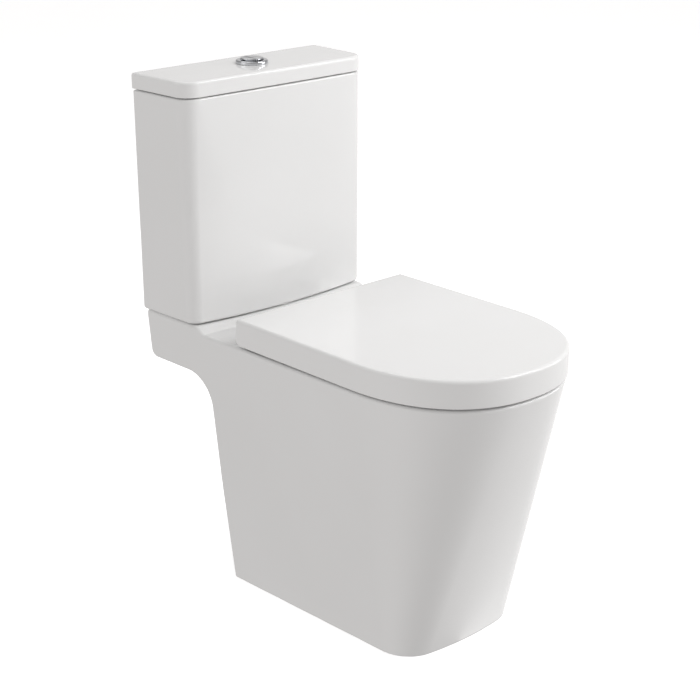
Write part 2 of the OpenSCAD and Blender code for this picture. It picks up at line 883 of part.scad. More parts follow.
module seat_lid() {
    arm = [lid_knuckle_x, lid_knuckle_x + knuckle_w + damper_length + 2];
    color(plastic_white) difference() {
        union() {
            difference() {
                hull() {
                    slab(seat_outline(0), seat_skirt);
                    slab(seat_outline(0), seat_top - lid_round);
                    slab(seat_outline(1.2), seat_top - 1.2);
                    slab(seat_outline(lid_round), seat_top - slice);
                }
                slab(seat_outline(skirt_wall), seat_skirt - slit,
                    seat_top - lid_panel - seat_skirt + slit);
                for (side = [-1, 1]) at(side * (notch_in + notch_out) / 2, seat_back, 440)
                    translate([(notch_in - notch_out) / 2, -skirt_wall - slit, 0])
                        cube([notch_out - notch_in, skirt_wall + 2 * slit,
                            seat_top - lid_panel - 440]);
                back_corner_cut();
            }
            lid_knuckle(arm[0], arm[1]);
            lid_knuckle(-lid_knuckle_x - knuckle_w, -lid_knuckle_x);
        }
        along_x(-lid_knuckle_x - knuckle_w - slit, hinge_depth, hinge_height,
            hinge_pin_r + pin_clearance, knuckle_w + 2 * slit);
        along_x(lid_knuckle_x - slit, hinge_depth, hinge_height,
            hinge_pin_r + pin_clearance, knuckle_w + 2 * slit);
        along_x(damper_x, hinge_depth, hinge_height, damper_r + pin_clearance, damper_length);
    }
}

function seat_outline(inset) = d_outline(seat_half - inset, seat_back + inset, seat_shoulder,
    overall_depth - inset);

// Takes off the lid's lower back corner outside a circle around the hinge axis.
module back_corner_cut() {
    size = 2 * back_corner_r;
    difference() {
        at(-seat_half - slit, hinge_depth, hinge_height - size)
            cube([2 * seat_half + 2 * slit, size, size]);
        along_x(-seat_half - 2 * slit, hinge_depth, hinge_height, back_corner_r,
            2 * seat_half + 4 * slit);
    }
}

module lid_knuckle(from, to) {
    along_x(from, hinge_depth, hinge_height, knuckle_r, to - from);
    at(from, hinge_depth + knuckle_r - 2, hinge_height)
        cube([to - from, 2 * knuckle_r - 4, seat_top - lid_panel - hinge_height + slit]);
}

module seat_ring() {
    ring_inset = skirt_wall + ring_gap;
    half = seat_half - ring_inset;
    front = overall_depth - ring_inset;
    lower = d_outline(half, ring_back, seat_shoulder, front);
    upper = d_outline(half - 8, ring_back + 4, seat_shoulder, front - 8);
    damper_arm = [-post_x + post_half + knuckle_gap, damper_length + 2];
    color(plastic_white) difference() {
        union() {
            difference() {
                hull() {
                    slab(lower, ring_bottom);
                    slab(lower, ring_top - 7);
                    slab(upper, ring_top - slice);
                }
                hull() {
                    slab(egg(ring_hole_half, ring_hole_length, ring_hole_centre),
                        ring_bottom - slit);
                    slab(egg(ring_hole_half, ring_hole_length, ring_hole_centre),
                        ring_top - 6);
                    slab(egg(ring_hole_half + ring_hole_flare,
                        ring_hole_length + ring_hole_flare, ring_hole_centre), ring_top + slit);
                }
            }
            ring_knuckle(ring_knuckle_x, knuckle_w);
            ring_knuckle(-ring_knuckle_x - knuckle_w, knuckle_w);
            ring_knuckle(damper_arm[0], damper_arm[1]);
        }
        for (x = [ring_knuckle_x, -ring_knuckle_x - knuckle_w])
            along_x(x - slit, hinge_depth, hinge_height, hinge_pin_r + pin_clearance,
                knuckle_w + 2 * slit);
        along_x(damper_arm[0] - slit, hinge_depth, hinge_height, damper_r + pin_clearance,
            damper_length + slit);
    }
}

module ring_knuckle(from, width) {
    along_x(from, hinge_depth, hinge_height, knuckle_r, width);
    at(from, ring_back + 6, hinge_height - knuckle_r)
        cube([width, ring_back + 6 - hinge_depth, ring_top - hinge_height + knuckle_r]);
}

module hinge_posts() {
    foot = deck_height + post_seal;
    color(chrome) difference() {
        union() {
            both_sides(post_x, hinge_depth, foot) {
                cylinder(h = 3, r = post_foot_r);
                cylinder(h = hinge_height - foot, r = knuckle_r);
            }
            for (side = [-1, 1])
                along_x(side * post_x - post_half, hinge_depth, hinge_height, knuckle_r,
                    2 * post_half);
        }
        for (side = [-1, 1])
            along_x(side * post_x - post_half - slit, hinge_depth, hinge_height,
                hinge_pin_r + 0.01, 2 * post_half + 2 * slit);
        both_sides(post_x, hinge_depth, foot - slit) cylinder(h = 12, r = seat_bolt_r + 0.02);
    }
}

module hinge_pins() {
    inner = post_x - post_half;
    outer = lid_knuckle_x + knuckle_w;
    color(steel) {
        along_x(inner, hinge_depth, hinge_height, hinge_pin_r, outer + 5 - inner);
        along_x(-outer, hinge_depth, hinge_height, hinge_pin_r, outer + 6 - inner);
    }
}

module damper(x, bore_x) {
    color(grey_plastic) difference() {
        along_x(x, hinge_depth, hinge_height, damper_r, damper_length - 1);
        along_x(bore_x, hinge_depth, hinge_height, hinge_pin_r + pin_clearance, 7);
    }
}

module lid_damper() {
    damper(damper_x + 0.5, damper_x - 0.5);
}

module ring_damper() {
    start = -post_x + post_half + knuckle_gap + 0.5;
    damper(start, start - 0.5);
}

module hinge_post_seals() {
    color(rubber) both_sides(post_x, hinge_depth, deck_height)
        tube(post_foot_r, seat_bolt_r + 0.2, post_seal);
}

module seat_bolts() {
    color(steel) both_sides(post_x, hinge_depth, seat_bolt_tail)
        cylinder(h = deck_height + 12 - seat_bolt_tail, r = seat_bolt_r);
}

module seat_bolt_washers() {
    color(rubber) both_sides(post_x, hinge_depth, cavity_top - seat_washer_t)
        tube(12, seat_bolt_r + 0.1, seat_washer_t);
}

module seat_wing_nuts() {
    color(plastic_white) both_sides(post_x, hinge_depth, cavity_top - seat_washer_t)
        mirror([0, 0, 1]) wing_nut(seat_bolt_r + 0.1, 12, 34);
}

module ring_buffers() {
    height = ring_bottom - deck_height - buffer_gap;
    color(rubber) {
        both_sides(145, 330, deck_height + buffer_gap) cylinder(h = height, r = 7);
        both_sides(108, 612, deck_height + buffer_gap) cylinder(h = height, r = 7);
    }
}

module lid_buffers() {
    height = seat_top - lid_panel - ring_top - buffer_gap;
    color(rubber) {
        both_sides(132, 400, ring_top + buffer_gap) cylinder(h = height, r = 6);
        both_sides(45, 658, ring_top + buffer_gap) cylinder(h = height, r = 6);
    }
}

pan();
cistern_body();
cistern_lid();
lid_pads();
cistern_seat_pads();
coupling_bolts();
coupling_rubber_washers();
coupling_plate_washers();
coupling_wing_nuts();
doughnut_seal();
valve_base();
valve_base_washer();
valve_back_nut();
valve_cage();
overflow_tube();
valve_seal();
full_flush_lever();
half_flush_lever();
half_flush_float();
lever_pin();
button_bezel();
bezel_nut();
full_flush_button();
half_flush_button();
full_button_spring();
half_button_spring();
fill_valve_body();
fill_valve_washer();
fill_valve_back_nut();
fill_valve_cap();
fill_float();
float_rod();
fill_lever();
fill_lever_pin();
inlet_filter();
blanking_plug();
blanking_plug_nut();
seat_ring();
seat_lid();
hinge_posts();
hinge_pins();
lid_damper();
ring_damper();
hinge_post_seals();
seat_bolts();
seat_bolt_washers();
seat_wing_nuts();
ring_buffers();
lid_buffers();
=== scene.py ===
"""Close coupled toilet: glazed pan and cistern, wrap-over seat and chrome flush button, on a plain floor.

The china, the seat and the chrome are built as distance fields, so that every edge and joint has the
soft fillet that a cast or moulded part has. A field takes x, d and z in millimetres, where d is the
distance from the wall side, and is negative inside. Small parts stay as CAD nodes with new materials.
"""

import json
from itertools import product
from math import cos, radians, sin

import bpy
import numpy as np
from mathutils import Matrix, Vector


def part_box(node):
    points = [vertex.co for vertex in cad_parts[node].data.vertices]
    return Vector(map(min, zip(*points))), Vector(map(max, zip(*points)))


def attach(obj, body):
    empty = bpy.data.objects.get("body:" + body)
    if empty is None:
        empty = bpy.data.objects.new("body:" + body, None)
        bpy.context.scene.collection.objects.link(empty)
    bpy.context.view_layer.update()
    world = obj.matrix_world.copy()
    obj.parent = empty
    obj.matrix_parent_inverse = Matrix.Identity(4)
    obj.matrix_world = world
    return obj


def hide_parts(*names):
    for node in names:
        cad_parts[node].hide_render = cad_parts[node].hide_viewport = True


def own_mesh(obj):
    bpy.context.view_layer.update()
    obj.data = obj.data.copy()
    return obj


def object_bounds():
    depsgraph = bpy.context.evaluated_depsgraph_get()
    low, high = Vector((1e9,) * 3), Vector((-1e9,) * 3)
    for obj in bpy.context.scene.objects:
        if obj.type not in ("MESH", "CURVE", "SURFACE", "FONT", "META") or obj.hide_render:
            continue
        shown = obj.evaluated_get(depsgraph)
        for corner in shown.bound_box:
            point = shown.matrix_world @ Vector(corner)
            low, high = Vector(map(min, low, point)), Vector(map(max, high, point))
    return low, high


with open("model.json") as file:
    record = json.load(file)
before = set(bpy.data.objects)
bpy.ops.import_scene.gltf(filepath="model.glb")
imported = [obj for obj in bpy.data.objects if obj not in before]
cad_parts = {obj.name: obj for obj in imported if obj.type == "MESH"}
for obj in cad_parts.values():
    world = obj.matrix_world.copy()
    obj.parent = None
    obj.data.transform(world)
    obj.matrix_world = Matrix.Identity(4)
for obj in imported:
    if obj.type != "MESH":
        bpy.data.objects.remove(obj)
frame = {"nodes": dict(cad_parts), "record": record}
cad_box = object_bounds()

MM = 0.001
WALL = cad_box[1].y / MM          # the wall side's y, in millimetres
ROOT = "pan_and_cistern"

# ---- driving sizes, in millimetres ----

DECK = 445.0                      # the surface that the seat closes onto
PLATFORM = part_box("pan")[1].z / MM
CHINA = 10.0                      # thickness of the pan's walls
CAVITY_TOP = 431.0
VALVE_D = 66.0                    # flush valve, buttons and coupling bolts
HINGE_D, HINGE_Z = 247.0, 468.0
POST_X = 77.5
KNUCKLE_R = 8.5
PIN_BORE = 4.05


# ---- joining fields ----

def both(a, b, r):
    """Inside a and b at once, with their edge rounded to r."""
    u, v = a + r, b + r
    return np.minimum(np.maximum(u, v), 0) + np.hypot(np.maximum(u, 0), np.maximum(v, 0)) - r


def either(a, b, r):
    """Inside a or b, with a hollow fillet of r between them."""
    return -both(-a, -b, r)


def less(a, b, r):
    """a with b cut out of it, the cut's edge rounded to r."""
    return both(a, -b, r)


def span(v, lo, hi):
    return np.maximum(lo - v, v - hi)


def ease(v, lo, hi):
    t = np.clip((v - lo) / (hi - lo), 0, 1)
    return t * t * (3 - 2 * t)


def round_bar(u, v, cu, cv, r):
    return np.hypot(u - cu, v - cv) - r


def pipe(x, d, z, points, r, blend):
    """A round pipe in the plane of symmetry through points of (d, z)."""
    whole = None
    for (d0, z0), (d1, z1) in zip(points, points[1:]):
        step = np.array([d1 - d0, z1 - z0])
        t = np.clip(((d - d0) * step[0] + (z - z0) * step[1]) / (step @ step), 0, 1)
        part = np.sqrt(x * x + (d - d0 - t * step[0]) ** 2 + (z - z0 - t * step[1]) ** 2) - r
        whole = part if whole is None else either(whole, part, blend)
    return whole


def egg(x, d, half, length, centre):
    """An ellipse in plan whose sizes may change with height."""
    e = np.maximum(np.hypot(x / half, (d - centre) / length), 1e-6)
    slope = np.hypot(x / half ** 2, (d - centre) / length ** 2) / e
    return (e - 1) / np.maximum(slope, 1e-9)


FULLNESS = 2.28                   # how square the rounded front of the seat is


def d_shape(x, d, half, shoulder, front):
    """A D in plan: straight sides back from the shoulder, and a full rounded front."""
    length = front - shoulder
    q = np.maximum(d - shoulder, 0) / length
    w = np.abs(x) / half
    g = np.maximum((w ** FULLNESS + q ** FULLNESS) ** (1 / FULLNESS), 1e-6)
    slope = np.hypot((w / g) ** (FULLNESS - 1) / half, (q / g) ** (FULLNESS - 1) / length)
    return (g - 1) / np.maximum(slope, 1e-9)


# ---- outlines that change with height ----

BEHIND = 80.0                     # outlines run on behind the wall side, where a flat back cuts them


def arc_points(cx, cd, r, start, stop, count):
    a = np.linspace(start, stop, count)
    return np.column_stack([cx + r * np.cos(a), cd + r * np.sin(a)])


def tub(back_half, front_half, depth, bulge, corner):
    """Tapering sides, rounded front corners and a bowed front, as points of (x, d)."""
    bow_r = (front_half ** 2 + bulge ** 2) / (2 * bulge)
    bow_d = depth + bulge - bow_r
    side = np.array([front_half - back_half, depth])
    side = side / np.linalg.norm(side)
    inward = np.array([-side[1], side[0]])
    start = np.array([front_half, depth - bow_d]) + corner * inward
    along = start @ side
    slide = -along + np.sqrt(along ** 2 - start @ start + (bow_r - corner) ** 2)
    cx, cd = start + slide * side + [0, bow_d]
    a_side = np.arctan2(-inward[1], -inward[0])
    a_bow = np.arctan2(cd - bow_d, cx)
    right = np.vstack([
        np.array([[back_half - side[0] / side[1] * BEHIND, -BEHIND]]),
        arc_points(cx, cd, corner, a_side, a_bow, 60),
        arc_points(0, bow_d, bow_r, a_bow, np.pi / 2, 120)])
    return np.vstack([right, (right * [-1, 1])[::-1]])


def rim(half, side_d, side_half, shoulder, front):
    """The pan's rim: a taper to side_half, then a D, as points of (x, d)."""
    a = np.linspace(0, np.pi / 2, 240)
    power = 2 / FULLNESS
    right = np.vstack([
        [[half + (half - side_half) / side_d * BEHIND, -BEHIND], [side_half, side_d]],
        np.column_stack([side_half * np.cos(a) ** power,
                         shoulder + (front - shoulder) * np.sin(a) ** power])])
    return np.vstack([right, (right * [-1, 1])[::-1]])


class Outline:
    """An outline that goes from one shape to another with height, the two matched where they face the
    same way. Its radius about an upright line is kept on a fine grid of angle and height."""

    ANGLES, LEVELS = 1440, 24

    def __init__(self, low, high, z_low, z_high, centre):
        self.z_low, self.z_high, self.centre = z_low, z_high, centre
        facing = np.linspace(0, 2 * np.pi, 2880, endpoint=False)
        ways = np.stack([np.cos(facing), np.sin(facing)])
        low, high = (shape[np.argmax(shape @ ways, axis=0)] for shape in (low, high))
        grid = np.linspace(-np.pi, np.pi, self.ANGLES, endpoint=False)
        rows = []
        for share in np.linspace(0, 1, self.LEVELS):
            ring = (1 - share) * low + share * high - [0, centre]
            ring = np.vstack([ring, ring[:1]])
            along = np.concatenate([[0], np.cumsum(np.hypot(*np.diff(ring, axis=0).T))])
            stops = np.arange(0, along[-1], 0.5)
            ring = np.column_stack([np.interp(stops, along, ring[:, c]) for c in (0, 1)])
            angle = np.arctan2(ring[:, 1], ring[:, 0])
            order = np.argsort(angle)
            rows.append(np.interp(grid, angle[order], np.hypot(*ring[order].T), period=2 * np.pi))
        table = np.array(rows)
        turn = (np.roll(table, -1, 1) - np.roll(table, 1, 1)) / (4 * np.pi / self.ANGLES)
        rise = np.gradient(table, (z_high - z_low) / (self.LEVELS - 1), axis=0)
        self.tables = np.stack([table, turn, rise], -1)

    def __call__(self, x, d, z):
        v = d - self.centre
        rho = np.maximum(np.hypot(x, v), 1.0)
        a = (np.arctan2(v, x) + np.pi) * self.ANGLES / (2 * np.pi)
        level = (z - self.z_low) / (self.z_high - self.z_low) * (self.LEVELS - 1)
        level = np.clip(level, 0, self.LEVELS - 1)
        i, k = a.astype(int), np.minimum(level.astype(int), self.LEVELS - 2)
        fa, fl = (a - i)[..., None], (level - k)[..., None]
        i, j = i % self.ANGLES, (i + 1) % self.ANGLES
        t = self.tables
        below = t[k, i] * (1 - fa) + t[k, j] * fa
        above = t[k + 1, i] * (1 - fa) + t[k + 1, j] * fa
        radius, turn, rise = np.moveaxis(below * (1 - fl) + above * fl, -1, 0)
        return (rho - radius) / np.sqrt(1 + (turn / rho) ** 2 + rise ** 2)


# ---- meshing a field ----

BLOCK = 4


def sample(field, axes):
    """The field on a grid. Blocks far from the surface keep one coarse value."""
    xs, ys, zs = axes
    n = [len(v) // BLOCK for v in axes]
    step = xs[1] - xs[0]
    centres = [v.reshape(-1, BLOCK).mean(1) for v in axes]
    coarse = field(*np.meshgrid(*centres, indexing="ij"))
    values = np.repeat(np.repeat(np.repeat(coarse, BLOCK, 0), BLOCK, 1), BLOCK, 2)
    near = np.argwhere(np.abs(coarse) < step * BLOCK * 1.9)
    offsets = np.array(list(product(range(BLOCK), repeat=3)))
    for part in np.array_split(near, max(1, len(near) // 4000)):
        index = (part[:, None] * BLOCK + offsets).reshape(-1, 3)
        i, j, k = index.T
        values[i, j, k] = field(xs[i], ys[j], zs[k])
    return values


def shifted(values, offset, trim=1):
    """The values at each cell's corner that lies at the offset."""
    return values[tuple(slice(o, n - trim + o) for o, n in zip(offset, values.shape))]


def net(values, axes):
    """Surface nets: one point per cell that the surface crosses, and one quad per crossed grid edge."""
    inside = values < 0
    corners = list(product((0, 1), repeat=3))
    count = sum(shifted(inside, c).astype(np.int8) for c in corners)
    active = (count > 0) & (count < 8)
    cells = np.argwhere(active)
    number = np.full(active.shape, -1)
    number[tuple(cells.T)] = np.arange(len(cells))
    total, crossings = np.zeros((len(cells), 3)), np.zeros(len(cells))
    for axis in range(3):
        for c in corners:
            if c[axis]:
                continue
            start = cells + c
            end = start.copy()
            end[:, axis] += 1
            f0, f1 = values[tuple(start.T)], values[tuple(end.T)]
            crossed = (f0 < 0) != (f1 < 0)
            t = np.where(crossed, f0 / np.where(crossed, f0 - f1, 1), 0)
            point = start.astype(float)
            point[:, axis] += t
            total += point * crossed[:, None]
            crossings += crossed
    points = total / crossings[:, None]
    points = np.column_stack([np.interp(points[:, a], np.arange(len(axes[a])), axes[a]) for a in range(3)])
    quads = []
    for axis in range(3):
        u, v = (axis + 1) % 3, (axis + 2) % 3
        first = inside[tuple(slice(0, -1) if a == axis else slice(1, -1) for a in range(3))]
        second = inside[tuple(slice(1, None) if a == axis else slice(1, -1) for a in range(3))]
        at = np.argwhere(first != second)
        ring = []
        for du, dv in ((0, 0), (1, 0), (1, 1), (0, 1)):
            cell = at.copy()
            cell[:, u] += du
            cell[:, v] += dv
            ring.append(number[tuple(cell.T)])
        quad = np.stack(ring, 1)
        out = first[tuple(at.T)]
        quads.append(np.where(out[:, None], quad, quad[:, ::-1]))
    return points, np.vstack(quads)


TETRA = np.array([(1, -1, -1), (-1, -1, 1), (-1, 1, -1), (1, 1, 1)], float)


def slope_of(field, points, reach):
    """The field's value and gradient at points."""
    values = [field(*(points + way * reach).T) for way in TETRA]
    return sum(values) / 4, sum(v[:, None] * way for v, way in zip(values, TETRA)) / (4 * reach)


def solid(name, field, nodes, body, material, step, mirrored=True):
    """Meshes a field inside the box of the CAD nodes that it stands for. A mirrored one is the same
    on both sides of x = 0."""
    boxes = [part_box(n) for n in nodes]
    lo = np.array([min(b[0][a] for b in boxes) for a in range(3)]) / MM
    hi = np.array([max(b[1][a] for b in boxes) for a in range(3)]) / MM
    lo, hi = np.array([lo[0], WALL - hi[1], lo[2]]), np.array([hi[0], WALL - lo[1], hi[2]])
    margin = 2.5 * step
    if mirrored:
        lo[0], hi[0] = step / 2, max(-lo[0], hi[0])
        count = int(np.ceil((hi[0] + margin - lo[0]) / step / BLOCK)) * BLOCK
        xs = lo[0] + step * np.arange(count)
    else:
        count = int(np.ceil((hi[0] - lo[0] + 2 * margin) / step / BLOCK)) * BLOCK
        xs = lo[0] - margin + step * np.arange(count)
    axes = [xs]
    for a in (1, 2):
        count = int(np.ceil((hi[a] - lo[a] + 2 * margin) / step / BLOCK)) * BLOCK
        axes.append((lo[a] + hi[a]) / 2 + step * (np.arange(count) - (count - 1) / 2))
    values = sample(field, axes)
    if mirrored:
        values = np.concatenate([values[::-1], values])
        axes[0] = np.concatenate([-xs[::-1], xs])
    points, quads = net(values, axes)
    for _ in range(4):
        value, slope = slope_of(field, points, 0.1 * step)
        move = value[:, None] * slope / np.maximum((slope ** 2).sum(1), 0.05)[:, None]
        length = np.linalg.norm(move, axis=1)[:, None]
        points = points - move * np.minimum(1, 0.5 * step / np.maximum(length, 1e-9))
    normals = slope_of(field, points, 0.35 * step)[1]
    normals /= np.maximum(np.linalg.norm(normals, axis=1), 1e-9)[:, None]
    points[:, 1] = WALL - points[:, 1]
    normals[:, 1] *= -1
    mesh = bpy.data.meshes.new(name)
    mesh.from_pydata(points * MM, [], quads[:, ::-1])
    mesh.validate()
    mesh.polygons.foreach_set("use_smooth", np.ones(len(mesh.polygons), bool))
    mesh.normals_split_custom_set_from_vertices(normals)
    mesh.materials.append(material)
    piece = bpy.data.objects.new(name, mesh)
    bpy.context.scene.collection.objects.link(piece)
    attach(piece, body)
    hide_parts(*nodes)
    return piece


# ---- materials ----

def surface(name, light, dark, gloss, rough, metallic=0.0, patch=6.0, grain=220.0, relief=0.02,
            wave=0.0, stretch=(1, 1, 1), contrast=1.0):
    """A procedural finish. Colour drifts between light and dark in soft patches, roughness between
    gloss and rough, and relief is the depth of its grain in millimetres; wave is a slow unevenness."""
    made = bpy.data.materials.new(name)
    made.use_nodes = True
    nodes, links = made.node_tree.nodes, made.node_tree.links
    shader = nodes["Principled BSDF"]
    shader.inputs["Metallic"].default_value = metallic
    place = nodes.new("ShaderNodeTexCoord")
    scale = nodes.new("ShaderNodeMapping")
    scale.inputs["Scale"].default_value = stretch
    links.new(place.outputs["Object"], scale.inputs["Vector"])

    def noise(size, detail, rough_share=0.5):
        n = nodes.new("ShaderNodeTexNoise")
        n.inputs["Scale"].default_value = size
        n.inputs["Detail"].default_value = detail
        n.inputs["Roughness"].default_value = rough_share
        links.new(scale.outputs["Vector"], n.inputs["Vector"])
        return n.outputs["Fac"]

    drift = noise(patch, 3)
    tone = nodes.new("ShaderNodeValToRGB")
    tone.color_ramp.elements[0].position = 0.5 - 0.2 / contrast
    tone.color_ramp.elements[1].position = 0.5 + 0.2 / contrast
    tone.color_ramp.elements[0].color = (*dark, 1)
    tone.color_ramp.elements[1].color = (*light, 1)
    links.new(drift, tone.inputs["Fac"])
    links.new(tone.outputs["Color"], shader.inputs["Base Color"])

    sheen = nodes.new("ShaderNodeMapRange")
    sheen.inputs["From Min"].default_value = 0.3
    sheen.inputs["From Max"].default_value = 0.7
    sheen.inputs["To Min"].default_value = gloss
    sheen.inputs["To Max"].default_value = rough
    links.new(noise(patch * 7, 4, 0.6), sheen.inputs["Value"])
    links.new(sheen.outputs["Result"], shader.inputs["Roughness"])

    fine = nodes.new("ShaderNodeBump")
    fine.inputs["Distance"].default_value = relief * MM
    fine.inputs["Strength"].default_value = 1.0
    links.new(noise(grain, 2), fine.inputs["Height"])
    if wave:
        slow = nodes.new("ShaderNodeBump")
        slow.inputs["Distance"].default_value = wave * MM
        slow.inputs["Strength"].default_value = 1.0
        links.new(noise(14, 1), slow.inputs["Height"])
        links.new(slow.outputs["Normal"], fine.inputs["Normal"])
    links.new(fine.outputs["Normal"], shader.inputs["Normal"])
    return made


china = surface("glazed_china", (0.83, 0.83, 0.828), (0.81, 0.81, 0.806), 0.05, 0.09,
                patch=4, grain=160, relief=0.004, wave=0.25)
lid_china = surface("glazed_china_lid", (0.845, 0.845, 0.843), (0.825, 0.825, 0.821), 0.05, 0.10,
                    patch=4, grain=160, relief=0.004, wave=0.20)
seat_white = surface("gloss_thermoset", (0.85, 0.85, 0.85), (0.835, 0.835, 0.83), 0.12, 0.17,
                     patch=5, grain=420, relief=0.003, wave=0.06)
chrome = surface("chrome_plate", (0.60, 0.61, 0.63), (0.54, 0.55, 0.57), 0.04, 0.09, metallic=1.0,
                 patch=30, grain=900, relief=0.0015)

CAD_FINISH = {
    "steel": surface("stainless_steel", (0.62, 0.62, 0.64), (0.48, 0.48, 0.50), 0.22, 0.38,
                     metallic=1.0, patch=60, grain=1400, relief=0.01, stretch=(1, 1, 6)),
    "rubber": surface("black_rubber", (0.045, 0.045, 0.048), (0.025, 0.025, 0.028), 0.55, 0.75,
                      patch=40, grain=700, relief=0.05),
    "clear_rubber": surface("milky_rubber", (0.78, 0.78, 0.75), (0.70, 0.70, 0.67), 0.35, 0.5,
                            patch=60, grain=500, relief=0.02),
    "grey_plastic": surface("grey_moulding", (0.42, 0.44, 0.47), (0.36, 0.38, 0.41), 0.32, 0.46,
                            patch=20, grain=900, relief=0.02),
    "blue_plastic": surface("blue_moulding", (0.10, 0.24, 0.45), (0.08, 0.19, 0.37), 0.30, 0.44,
                            patch=20, grain=900, relief=0.02),
    "white_plastic": surface("white_moulding", (0.80, 0.80, 0.78), (0.74, 0.74, 0.72), 0.30, 0.45,
                             patch=20, grain=900, relief=0.02),
    "chrome": chrome, "ceramic": china, "seat_plastic": seat_white,
}

slot_of = {s["node"]: s["material_slot"] for s in frame["record"]["subparts"]}
for node, shown in frame["nodes"].items():
    shown.data.materials.clear()
    shown.data.materials.append(CAD_FINISH[slot_of[node]])


# ---- pan ----

RIM_R = 5.0
BOWL_LEVELS = ((118.0, 36, 36, 430), (200, 60, 66, 447), (300, 91, 113, 470), (380, 113, 145, 480),
               (445, 126, 163, 485), (470, 130, 168, 486))     # height, half width, half length, centre
TRAP = ((430, 145), (330, 270), (235, 180), (60, 180))
DUCT = ((VALVE_D, 454), (VALVE_D, 402), (352, 396))
SHELF_UNDER = 369.0

pan_outline = Outline(tub(142, 126, 560, 15, 58), rim(182, 240, 177, 488, 697), 0, 441, 330)
pan_inside = Outline(tub(132, 116, 550, 15, 48), rim(172, 240, 167, 488, 687), 0, 427, 330)


def bowl_at(z, wall):
    """The bowl's half width, half length and centre at a height."""
    levels = np.array(BOWL_LEVELS)
    half, length, centre = (np.interp(z, levels[:, 0], levels[:, c]) for c in (1, 2, 3))
    return half + wall, length + wall, centre


def pan(x, d, z):
    bow = 8 * (1 - (x / 180) ** 2)
    top = DECK + (PLATFORM - DECK) * (1 - ease(d - bow, 131, 150))
    shape = both(pan_outline(x, d, z), z - top, RIM_R)
    pedestal = 152 + 8 * (1 - z / 317) - d
    back = either(SHELF_UNDER - z, pedestal, 52)
    back = both(back, -d, 14)
    shape = both(shape, back, 5)
    shape = both(shape, -z, 3)
    cavity = both(pan_inside(x, d, z), z - CAVITY_TOP, 14)
    cavity = both(cavity, CHINA - d, 8)
    shell = less(shape, cavity, 4)
    bowl_out = both(egg(x, d, *bowl_at(z, CHINA)), 126 - z, 10)
    works = either(bowl_out, both(pipe(x, d, z, TRAP, 51, 25), 91 - d, 3), 18)
    works = either(works, pipe(x, d, z, DUCT, 28, 10), 10)
    works = both(works, z - 436, 1)
    lug = both(both(span(np.abs(x), 80, 130), span(d, 160, 210), 5), span(z, 0, 14), 3)
    shape = both(either(shell, either(works, lug, 5), 7), -z, 1.5)
    void = either(both(egg(x, d, *bowl_at(z, 0)), 126 - z, 10), pipe(x, d, z, TRAP, 37, 20), 15)
    shape = less(shape, void, 7)
    shape = less(shape, pipe(x, d, z, DUCT[1:], 20, 6), 3)
    shape = less(shape, both(round_bar(x, d, 0, VALVE_D, 28), DUCT[1][1] - z, 4), 2)
    shape = less(shape, both(round_bar(x, d, 0, VALVE_D, 60), 448 - z, 2), 2)
    side = np.abs(x)
    for hole_x, hole_d, r in ((88, VALVE_D, 6), (130, VALVE_D, 20), (POST_X, HINGE_D, 6)):
        shape = less(shape, both(round_bar(side, d, hole_x, hole_d, r), 415 - z, 1), 1.2)
    return less(shape, both(round_bar(side, d, 105, 185, 4), z - 40, 1), 1)


solid("pan_china", pan, ["pan"], ROOT, china, 2.6)


# ---- cistern ----

FOOT_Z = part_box("cistern_body")[0].z / MM
TOP_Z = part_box("cistern_body")[1].z / MM
FLOOR_Z = FOOT_Z + 10


def cistern_outline(inset):
    corner = 12 if inset > 5 else 0
    return Outline(tub(190 - inset, 185 - inset, 129 - inset, 17, 23 - corner),
                   tub(193 - inset, 188 - inset, 133 - inset, 2, 28 - corner),
                   FOOT_Z + 5, TOP_Z - 2, 66)


cistern_outside, cistern_inside = cistern_outline(0), cistern_outline(9)


def cistern(x, d, z):
    outside = cistern_outside(x, d, z)
    shape = both(both(outside, 2 - d, 2.5), z - TOP_Z, 2.5)
    shape = both(shape, FOOT_Z - z, 6)
    tank = both(both(cistern_inside(x, d, z), 11 - d, 8), FLOOR_Z - z, 8)
    shell = less(shape, tank, 2.5)
    boss = both(both(round_bar(x, d, 0, VALVE_D, 74), z - 488, 4), FOOT_Z - z, 1)
    shell = either(shell, both(boss, both(outside, 2 - d, 2.5) + 4, 1), 5)
    shell = less(shell, both(round_bar(x, d, 0, VALVE_D, 60), z - 478, 3), 2)
    shell = less(shell, round_bar(x, d, 0, VALVE_D, 32) + np.maximum(z - 520, 0), 1.5)
    side = np.abs(x)
    for hole_x, r in ((88, 6), (130, 11.5)):
        shell = less(shell, both(round_bar(side, d, hole_x, VALVE_D, r), z - 480, 1), 1.5)
    screws = both(round_bar(side, z, 110, 770, 4), d - 18, 1)
    return less(shell, screws, 1.5)


solid("cistern_china", cistern, ["cistern_body"], ROOT, china, 2.4)

LID_LOW, LID_TOP = TOP_Z + 2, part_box("cistern_lid")[1].z / MM


def lid_outline(inset):
    corner = min(inset, 12)
    shape = tub(193 - inset, 188 - inset, 133 - inset, 2, 28 - corner)
    return Outline(shape, shape, 800, 860, 66)


lid_outside, lip_outside, lip_inside = lid_outline(-1), lid_outline(11), lid_outline(16)


def cistern_lid(x, d, z):
    slab = both(both(lid_outside(x, d, z), -d, 3), z - LID_TOP, 4.5)
    slab = both(slab, LID_LOW - z, 1.5)
    lip = both(both(lip_outside(x, d, z), 13 - d, 3), LID_LOW - 8 - z, 1.5)
    shape = either(slab, both(lip, z - LID_LOW - 4, 1), 1.5)
    hollow = both(both(lip_inside(x, d, z), 18 - d, 4), z - LID_TOP + 8, 4)
    return less(less(shape, hollow, 1.5), round_bar(x, d, 0, VALVE_D, 20), 1)


solid("cistern_lid_china", cistern_lid, ["cistern_lid"], "cistern_lid", lid_china, 1.8)


# ---- seat ----

